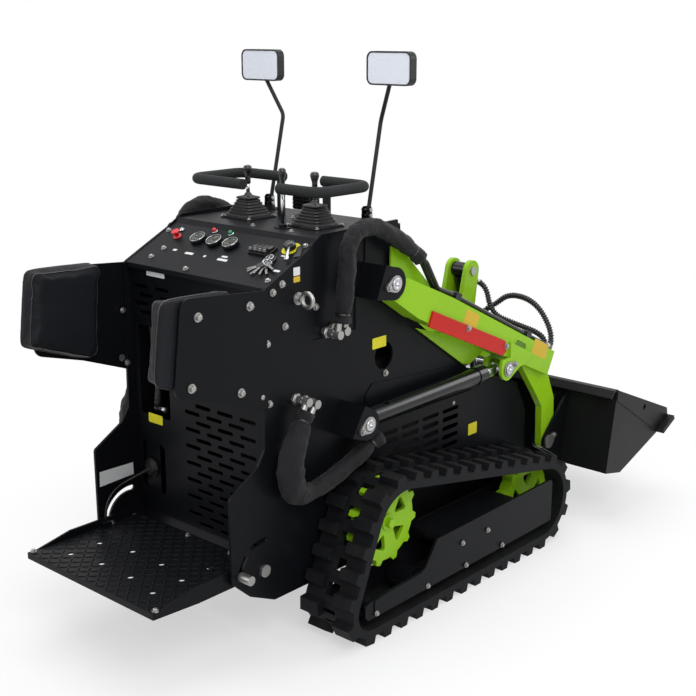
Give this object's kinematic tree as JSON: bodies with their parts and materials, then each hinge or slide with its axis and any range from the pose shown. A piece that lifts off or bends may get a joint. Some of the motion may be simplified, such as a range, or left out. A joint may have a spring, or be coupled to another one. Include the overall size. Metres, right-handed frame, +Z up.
{
  "type": "stand-on tracked loader",
  "caption": "Compact stand-on tracked loader with raised lift arms, bucket, folding operator platform, thigh pads, hand grips and tall mirrors.",
  "frame": {"origin": "on the ground, midway between the platform's rear edge and the bucket's cutting edge, in the middle of the machine's width", "axes": "+X forwards from the operator towards the bucket, +Y to the operator's left, +Z up"},
  "size_m": [2.17, 1.116, 1.586],
  "materials": {
    "black_paint": "satin",
    "black_plastic": "satin",
    "bright_steel": "polished",
    "engine_grey": "matt",
    "green_paint": "gloss",
    "red_paint": "gloss",
    "soft_rubber": "matt",
    "track_rubber": "matt",
    "vinyl": "satin",
    "zinc_steel": "satin"
  },
  "bodies": {
    "machine": {"chassis": "black_paint", "side_plate_right": "black_paint", "side_plate_left": "black_paint", "pad_plates": "black_paint", "thigh_pad_right": "vinyl", "thigh_pad_left": "vinyl", "rear_panel": "black_paint", "control_console": "black_paint", "hood": "black_paint", "side_grilles": "black_paint", "engine_block": "engine_grey", "arm_towers": "black_paint", "cylinder_brackets": "black_paint", "body_pins": "zinc_steel", "track_frame_right": "black_paint", "track_frame_left": "black_paint", "track_right": "track_rubber", "track_left": "track_rubber", "drive_sprockets": "green_paint", "front_idlers": "green_paint", "track_rollers": "black_paint", "drive_motors": "black_paint", "joysticks": "black_plastic", "grab_bars": "soft_rubber", "mirrors": "black_plastic", "platform_bolts": "zinc_steel", "instruments": "black_plastic", "centre_lever": "bright_steel", "work_light": "black_plastic", "lifting_eyes": "zinc_steel", "upper_hose_right": "soft_rubber", "upper_hose_left": "soft_rubber", "lower_hose_right": "soft_rubber", "lower_hose_left": "soft_rubber", "hose_fittings": "zinc_steel", "platform_cable": "soft_rubber"},
    "arms": {"lift_arms": "green_paint", "arm_pins": "zinc_steel", "lock_strut": "red_paint", "arm_tubes": "black_paint", "tilt_hoses": "soft_rubber"},
    "lift_barrel_right": {"lift_barrel_right": "black_paint"},
    "lift_barrel_left": {"lift_barrel_left": "black_paint"},
    "lift_rod_right": {"lift_rod_right": "bright_steel"},
    "lift_rod_left": {"lift_rod_left": "bright_steel"},
    "tilt_barrel": {"tilt_barrel": "black_paint"},
    "tilt_rod": {"tilt_rod": "bright_steel"},
    "bucket": {"coupler": "black_paint", "bucket": "black_paint", "bucket_pins": "zinc_steel"},
    "platform": {"platform": "black_paint", "platform_latch": "zinc_steel"}
  },
  "joints": [
    {"name": "arm_lift", "type": "hinge", "parent": "machine", "child": "arms", "pos_m": [-0.283, 0, 0.97], "axis": [0, -1, 0], "range_deg": [0, 75], "deforming": ["upper_hose_right", "upper_hose_left"]},
    {"name": "bucket_tilt", "type": "hinge", "parent": "arms", "child": "bucket", "pos_m": [0.575, 0, 0.285], "axis": [0, 1, 0], "range_deg": [0, 60]},
    {"name": "platform_fold", "type": "hinge", "parent": "machine", "child": "platform", "pos_m": [-0.72, 0, 0.244], "axis": [0, 1, 0], "range_deg": [0, 88], "deforming": ["platform_cable"]},
    {"name": "lift_barrel_right_swing", "type": "hinge", "parent": "machine", "child": "lift_barrel_right", "pos_m": [-0.391, -0.3305, 0.59], "axis": [0, -1, 0], "range_deg": [0, 54], "deforming": ["lower_hose_right"]},
    {"name": "lift_rod_right_slide", "type": "slide", "parent": "lift_barrel_right", "child": "lift_rod_right", "axis": [0.9998, 0, 0.0206], "range_m": [0, 0.37]},
    {"name": "lift_barrel_left_swing", "type": "hinge", "parent": "machine", "child": "lift_barrel_left", "pos_m": [-0.391, 0.3305, 0.59], "axis": [0, -1, 0], "range_deg": [0, 54], "deforming": ["lower_hose_left"]},
    {"name": "lift_rod_left_slide", "type": "slide", "parent": "lift_barrel_left", "child": "lift_rod_left", "axis": [0.9998, 0, 0.0206], "range_m": [0, 0.37]},
    {"name": "tilt_barrel_swing", "type": "hinge", "parent": "arms", "child": "tilt_barrel", "pos_m": [0.529, 0, 0.843], "axis": [0, -1, 0], "range_deg": [0, 10], "deforming": ["tilt_hoses"]},
    {"name": "tilt_rod_slide", "type": "slide", "parent": "tilt_barrel", "child": "tilt_rod", "axis": [0.2256, 0, -0.9742], "range_m": [0, 0.16]}
  ],
  "couplings": [
    {"joint": "lift_barrel_right_swing", "follows": "arm_lift", "ratio": 0.7033},
    {"joint": "lift_rod_right_slide", "follows": "arm_lift", "m_per_rad": 0.2735},
    {"joint": "lift_barrel_left_swing", "follows": "arm_lift", "ratio": 0.7033},
    {"joint": "lift_rod_left_slide", "follows": "arm_lift", "m_per_rad": 0.2735},
    {"joint": "tilt_barrel_swing", "follows": "bucket_tilt", "ratio": 0.155},
    {"joint": "tilt_rod_slide", "follows": "bucket_tilt", "m_per_rad": 0.146}
  ]
}
